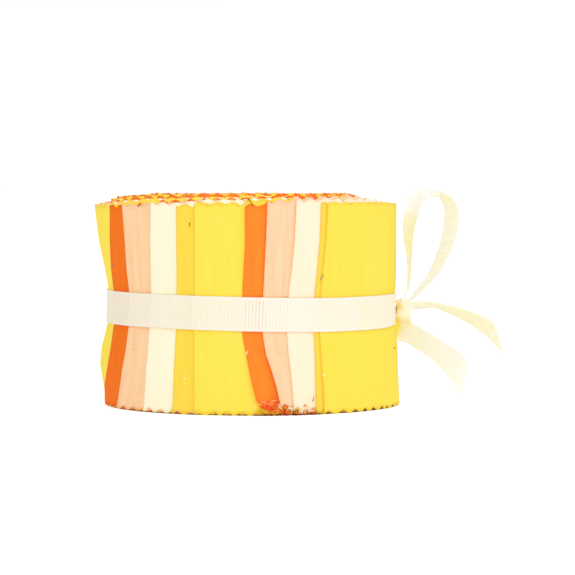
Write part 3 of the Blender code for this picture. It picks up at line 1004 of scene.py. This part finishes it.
angle = np.linspace(FIRST_END, FIRST_END + 360.0, BAND_RIBS * RIB_STEPS + 1)[None, :]
share = across_levels()[:, None]
along = np.linspace(0, BAND_LENGTH, BAND_RIBS * RIB_STEPS + 1)[None, :]
crown = BAND_CROWN * (1 - (2 * share - 1) ** 2)
rise, fall = (most * np.exp(-(((angle - KNOT_ANGLE) / span) ** 2)) for most, span in GATHERING)
offset = (share - 0.5) * RIBBON_WIDTH + (1 - share) * rise - share * fall
height = waist_height(angle, offset)
wall = np.maximum(band_radius(angle, height), band_radius(angle, 0 * height + WAIST) + 0.05 * MM)
radius = wall + (CLOTH_THICKNESS + RIBBON_THICKNESS) / 2 + rib_relief(along, share) + crown
points = polar(angle, radius, height)
across = share * RIBBON_WIDTH
band = grid_piece(
    "ribbon_round_waist", points, along, across, RIBBON_THICKNESS, band_finish, closed=True
)
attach(band, "root")
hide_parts("ribbon_band")
print("band of", round(BAND_LENGTH / MM), "mm")

# %% [markdown]
# The bow. A free ribbon is a ruled surface: straight lines across it from its near edge to its
# far edge. The tables give those lines in millimetres from the roll's axis and the floor, and
# what the two ends of a line lack of the ribbon's width they lie apart in depth. The lower tail
# comes over the front of the knot and covers most of it.

# %% The bow's lines
FLAT = (10.2, 0.5)
LOOP_LINES = (
    # near x, near z, far x, far z, then width and depth of the middle where they aren't FLAT
    (48.5, 31.9, 49.7, 31.5, 5.5, 0.5),
    (48.6, 33.3, 49.9, 33.1, 6.0, 0.5),
    (49.6, 35.4, 50.5, 35.2, 7.0, 0.5),
    (50.3, 38.5, 51.4, 38.3, 8.5, 0.5),
    (50.3, 44.8, 51.9, 44.4),
    (49.9, 49.2, 52.2, 48.9),
    (49.0, 53.7, 52.5, 53.3),
    (49.1, 59.0, 53.6, 58.8),
    (49.7, 62.6, 54.7, 62.4),
    (50.7, 66.3, 55.8, 64.7),
    (53.3, 68.4, 57.2, 65.8),
    (56.8, 68.6, 58.5, 66.1),
    (59.9, 68.4, 59.6, 65.9),
    (61.9, 67.4, 60.6, 66.4),
    (63.5, 66.6, 61.3, 65.5),
    (65.6, 64.3, 62.2, 63.5),
    (66.4, 61.7, 62.6, 61.4),
    (66.6, 59.2, 62.5, 59.1),
    (65.8, 53.5, 61.7, 53.5),
    (62.9, 46.5, 60.0, 47.8),
    (59.4, 40.7, 57.5, 41.8),
    (55.8, 37.1, 53.9, 36.8, 8.5, 0.5),
    (53.8, 34.9, 52.4, 34.8, 7.0, 0.5),
    (51.9, 33.4, 50.8, 33.3, 6.0, 0.5),
    (50.5, 31.8, 49.7, 31.8, 5.5, 0.5),
)
UPPER_LINES = (
    (49.3, 31.9, 49.7, 29.7, 5.5, 0.5),
    (51.5, 32.5, 52.0, 30.1, 6.5, 0.5),
    (54.2, 32.7, 54.8, 30.1, 9.0, 0.5),
    (58.2, 32.6, 59.2, 30.3, 10.0, 0.5),
    (65.7, 31.1, 64.3, 28.5, 10.0, 0.5),
    (72.4, 28.8, 69.8, 25.7, 10.0, 0.5),
    (77.6, 26.2, 76.0, 21.4, 10.0, 0.5),
    (83.3, 21.9, 81.7, 15.8),
)
LOWER_LINES = (
    (50.3, 33.7, 48.4, 33.6, 3.0, -0.8),
    (51.0, 33.2, 47.0, 33.2, 4.4, -2.0),
    (51.4, 32.1, 46.7, 32.3, 5.0, -2.6),
    (51.6, 31.0, 47.2, 31.0, 4.8, -2.7),
    (51.7, 29.9, 47.0, 29.9, 4.9, -2.7),
    (51.6, 28.8, 46.9, 28.9, 5.1, -2.7),
    (51.4, 27.8, 46.6, 27.7, 5.3, -2.6),
    (51.3, 26.9, 46.6, 26.0, 5.8, -2.2),
    (51.7, 26.0, 46.6, 24.0, 6.6, -1.7),
    (52.8, 25.4, 46.9, 22.0, 7.8, -1.2),
    (54.2, 24.5, 47.9, 20.1, 9.0, -0.8),
    (56.4, 23.2, 50.7, 19.0, 10.0, -0.4),
    (59.5, 21.4, 54.8, 16.5, 10.0, 0.0),
    (62.7, 19.4, 58.5, 13.8, 10.0, 0.3),
    (67.5, 16.2, 62.1, 10.4, 10.0, 0.5),
    (69.7, 14.0, 64.8, 6.9),
    (72.2, 10.7, 66.5, 3.9),
    (74.1, 7.3, 67.7, 1.1),
)


def smooth_rows(table, steps):
    """Catmull-Rom rows between the rows of a table, as cubic blends of four neighbours."""
    rows = np.array([(*row, *FLAT)[:6] for row in table])
    rows = np.vstack([2 * rows[0] - rows[1], rows, 2 * rows[-1] - rows[-2]])
    t = np.linspace(0, 1, steps, endpoint=False)[:, None, None]
    before, here, after, beyond = rows[:-3], rows[1:-2], rows[2:-1], rows[3:]
    drawn = (
        (2 * t**3 - 3 * t**2 + 1) * here
        + (t**3 - 2 * t**2 + t) * (after - before) / 2
        + (3 * t**2 - 2 * t**3) * after
        + (t**3 - t**2) * (beyond - here) / 2
    )
    return np.vstack([drawn.transpose(1, 0, 2).reshape(-1, rows.shape[1]), rows[-2]])


def ruled_points(lines, share):
    """Points on the lines, at the shares across them. lines has the six columns in front."""
    near_x, near_z, far_x, far_z, width, middle_y = lines * MM
    depth = np.sqrt(width**2 - (far_x - near_x) ** 2 - (far_z - near_z) ** 2)
    x = AXIS_X + near_x + (far_x - near_x) * share
    y = middle_y + depth * (share - 0.5)
    z = near_z + (far_z - near_z) * share
    return np.stack([x, y, z], axis=-1)


def free_ribbon(name, node_name, table, cut, tints, painted_shadows):
    """A ribbed ribbon on the lines of a table, cut slantwise at its end.

    Its far edge ends on the last line, and its near edge cut millimetres before it."""
    rough = smooth_rows(table, 12)
    middle = ruled_points(rough.T, 0.5)
    passed = np.append(0, np.cumsum(np.linalg.norm(np.diff(middle, axis=0), axis=1)))
    share = across_levels()[:, None]
    length = passed[-1] - cut * (1 - share) * MM
    along = np.linspace(0, 1, int(passed[-1] / RIB_PITCH * RIB_STEPS))[None, :] * length
    lines = np.stack([np.interp(along, passed, column) for column in rough.T])
    points = ruled_points(lines, share)
    forward = np.gradient(points, axis=1)
    sideways = np.gradient(points, axis=0)
    normal = np.cross(forward, sideways)
    normal /= np.linalg.norm(normal, axis=-1, keepdims=True)
    points = points + normal * rib_relief(along, share)[..., None]
    tints = [(place * MM / BAND_LENGTH, colour) for place, colour in tints]
    finish = ribbon_material("ribbon_" + name, tints, 0.0, tints, BOW_GLOW, painted_shadows, FOLD)
    piece = grid_piece(name, points, along, share * RIBBON_WIDTH, BOW_THICKNESS, finish)
    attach(piece, "root")
    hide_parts(node_name)
    print(name, round(length.min() / MM, 1), "to", round(length.max() / MM, 1), "mm long")
    return piece, float(length.max())


# %% The bow's colours, and its three pieces
# The tints along the bow are painted light and shade: light from the roll, shade near the knot and
# past the crease, whiter where light falls.
KNOT_PEACH = (0.96, 0.87, 0.66)
KNOT_SHADE = (0.90, 0.70, 0.36)
LOOP_TINTS = (
    # place along the ribbon in mm, then its colour there, painted light and shade
    (3.0, (0.94, 0.94, 0.82)),
    (7.0, (0.81, 0.725, 0.36)),
    (17.7, (0.765, 0.665, 0.28)),
    (22.1, (0.775, 0.693, 0.375)),
    (27.7, (0.795, 0.72, 0.465)),
    (31.3, (0.805, 0.80, 0.74)),
    (36.0, (0.815, 0.84, 0.835)),
    (42.3, (0.81, 0.835, 0.83)),
    (42.9, (0.755, 0.70, 0.49)),
    (49.1, (0.77, 0.762, 0.675)),
    (60.0, (0.765, 0.757, 0.725)),
    (70.0, (0.80, 0.80, 0.785)),
    (74.5, (0.81, 0.83, 0.86)),
    (79.0, (0.89, 0.91, 0.88)),
)
UPPER_TINTS = (
    (2.0, (0.79, 0.765, 0.61)),
    (4.0, (0.745, 0.72, 0.585)),
    (9.0, (0.70, 0.66, 0.50)),
    (23.0, (0.69, 0.645, 0.47)),
    (33.0, (0.705, 0.66, 0.54)),
)
LOWER_TINTS = (
    (0.0, KNOT_PEACH),
    (6.0, KNOT_PEACH),
    (8.5, (0.80, 0.69, 0.47)),
    (12.0, (0.76, 0.72, 0.63)),
    (16.0, (0.745, 0.74, 0.70)),
    (22.0, (0.735, 0.725, 0.69)),
    (30.0, (0.725, 0.695, 0.665)),
    (36.0, (0.76, 0.75, 0.735)),
    (42.0, (0.785, 0.79, 0.75)),
)
SHADOWS = (
    # on the lower tail: the middle and half size of a spot, in metres, then its colour
    ((0.0034, 0.0102, 0.0), (0.0030, 0.0052, 1.0), (0.93, 0.62, 0.24)),
    ((0.0092, 0.0105, 0.0), (0.0042, 0.0050, 1.0), (0.76, 0.60, 0.12)),
)
BOW = (
    # piece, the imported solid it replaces, how it is held, its lines, cut, tints and shadows
    ("bow_loop", "ribbon_loop", "folded", LOOP_LINES, 0.0, LOOP_TINTS, ()),
    ("bow_tail_upper", "ribbon_tail_upper", "hung", UPPER_LINES, 7.4, UPPER_TINTS, ()),
    ("bow_tail_lower", "ribbon_tail_lower", "hung", LOWER_LINES, 7.3, LOWER_TINTS, SHADOWS),
)
for name, node_name, held, lines, cut, tints, shadows in BOW:
    piece, length = free_ribbon(name, node_name, lines, cut, tints, shadows)

# %% [markdown]
# All the ribbons run together in the knot, so its folds fan out from one dimple beside the roll,
# dark from its depth and from painted shade. It is a small bead whose surface moves in and out
# with the angle round that dimple. Near other surfaces it gets a painted glow.

# %% The knot
KNOT_MIDDLE = np.array((AXIS_X + 0.0489, 0.0006, 0.0300))
KNOT_HALF = np.array((0.0023, 0.0019, 0.0030))
KNOT_SQUARENESS = 0.8
KNOT_FOLDS = 9
KNOT_FOLD_HEIGHT = 0.00008
DIMPLE = np.array((AXIS_X + 0.0469, 0.0304))
DIMPLE_DEPTH = 0.0012
DIMPLE_HALF = (0.0006, 0.0012)


def knot_points(around, along):
    """A bead, squarer than an egg, moved along its normal by the folds and the dimple."""
    ring = [np.cos(along) + 0 * around, np.sin(along) * np.cos(around)]
    ring = np.stack(ring + [np.sin(along) * np.sin(around)], -1)
    points = KNOT_MIDDLE + KNOT_HALF * np.sign(ring) * np.abs(ring) ** KNOT_SQUARENESS
    side, up = points[..., 0] - DIMPLE[0], points[..., 2] - DIMPLE[1]
    reach = np.hypot(side, up)
    fan = np.cos(KNOT_FOLDS * np.arctan2(up, side) + 0.8) * np.clip(reach / 0.0012, 0, 1)
    off = (side / DIMPLE_HALF[0]) ** 2 + ((up - 0.4 * side) / DIMPLE_HALF[1]) ** 2
    dent = DIMPLE_DEPTH * np.exp(-off) * (ring[..., 1] < 0.3)
    return points + ring * (KNOT_FOLD_HEIGHT * fan - dent)[..., None], reach


KNOT_TINTS = (
    # distance from the dimple in mm, then the colour there, painted shade near the dimple
    (0.0, (0.95, 0.62, 0.30)),
    (0.9, (0.95, 0.66, 0.34)),
    (1.6, KNOT_SHADE),
    (2.4, KNOT_PEACH),
    (4.0, KNOT_PEACH),
)
around = np.linspace(0, 2 * math.pi, 73)[None, :]
along = np.linspace(0.02, math.pi - 0.02, 37)[:, None]
points, reach = knot_points(around, along)
knot_tints = [(place * MM / BAND_LENGTH, colour) for place, colour in KNOT_TINTS]
knot_finish = ribbon_material("ribbon_knot", knot_tints, 0.0, knot_tints, 0.0, fold=FOLD)
knot = grid_piece("bow_knot", points, reach, 0 * reach, 0.0002, knot_finish, closed=True)
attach(knot, "root")
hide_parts("ribbon_knot")

# %% [markdown]
# The floor, the light and the camera. The photo is bright and nearly without shadows: a white
# floor that glows from the roll's foot outwards, under a white sky that is brighter on the bow's
# side, and one large soft light from the front right.

# %% Stage
SKY_LEVEL = 1.04
SKY_SLOPE = 0.20
FLOOR_GLOW = 0.62
FLOOR_SIDE = 30.0
GLOW_MIDDLE = (AXIS_X + 0.0008, 0.0, 0.0)
GLOW_FROM = 0.0459
GLOW_FULL = 0.0470
finish, tree, shader = new_material("floor_white", (0.55, 0.55, 0.55), 1.0, 0.0)
shader.inputs["Emission Color"].default_value = (1.0, 1.0, 1.0, 1.0)
place = node(tree, "ShaderNodeTexCoord").outputs["Object"]
ends = {0: place, 1: GLOW_MIDDLE}
from_axis = node(tree, "ShaderNodeVectorMath", ends, operation="DISTANCE").outputs["Value"]
# The glow stops under the roll and fades in just outside its foot at the front: a painted dark
# contact line.
lit = ramp(tree, from_axis, GLOW_FROM, GLOW_FULL, FLOOR_GLOW)
tree.links.new(lit, shader.inputs["Emission Strength"])
corners = np.array(((-1, -1, 0), (1, -1, 0), (1, 1, 0), (-1, 1, 0))) * FLOOR_SIDE
floor = add_mesh("floor", corners, [(0, 1, 2, 3)], finish)

world = bpy.data.worlds.new("studio")
scene.world = world
world.use_nodes = True
sky = world.node_tree
direction = node(sky, "ShaderNodeTexCoord").outputs["Generated"]
sideways = node(sky, "ShaderNodeSeparateXYZ", {0: direction}).outputs[0]
strength = maths(sky, "ADD", maths(sky, "MULTIPLY", sideways, SKY_SLOPE), SKY_LEVEL)
background = sky.nodes["Background"]
background.inputs[0].default_value = (1.0, 1.0, 1.0, 1.0)
sky.links.new(strength, background.inputs[1])

lamp = bpy.data.lights.new("key", "AREA")
lamp.size = 1.1
lamp.energy = 5.0
key = add_object("key", lamp)
key.location = (0.45, -0.95, 1.15)
aim = Vector((0, 0, 0.03)) - key.location
key.rotation_euler = aim.to_track_quat("-Z", "Y").to_euler()

view = bpy.data.cameras.new("camera")
view.lens = 166.2
view.sensor_width = 36.0
camera = add_object("camera", view)
camera.location = (AXIS_X + 0.012, -0.85, 0.0694)
camera.rotation_euler = (math.radians(90 - 2.171), 0, 0)
scene.camera = camera
scene.view_settings.view_transform = "Standard"
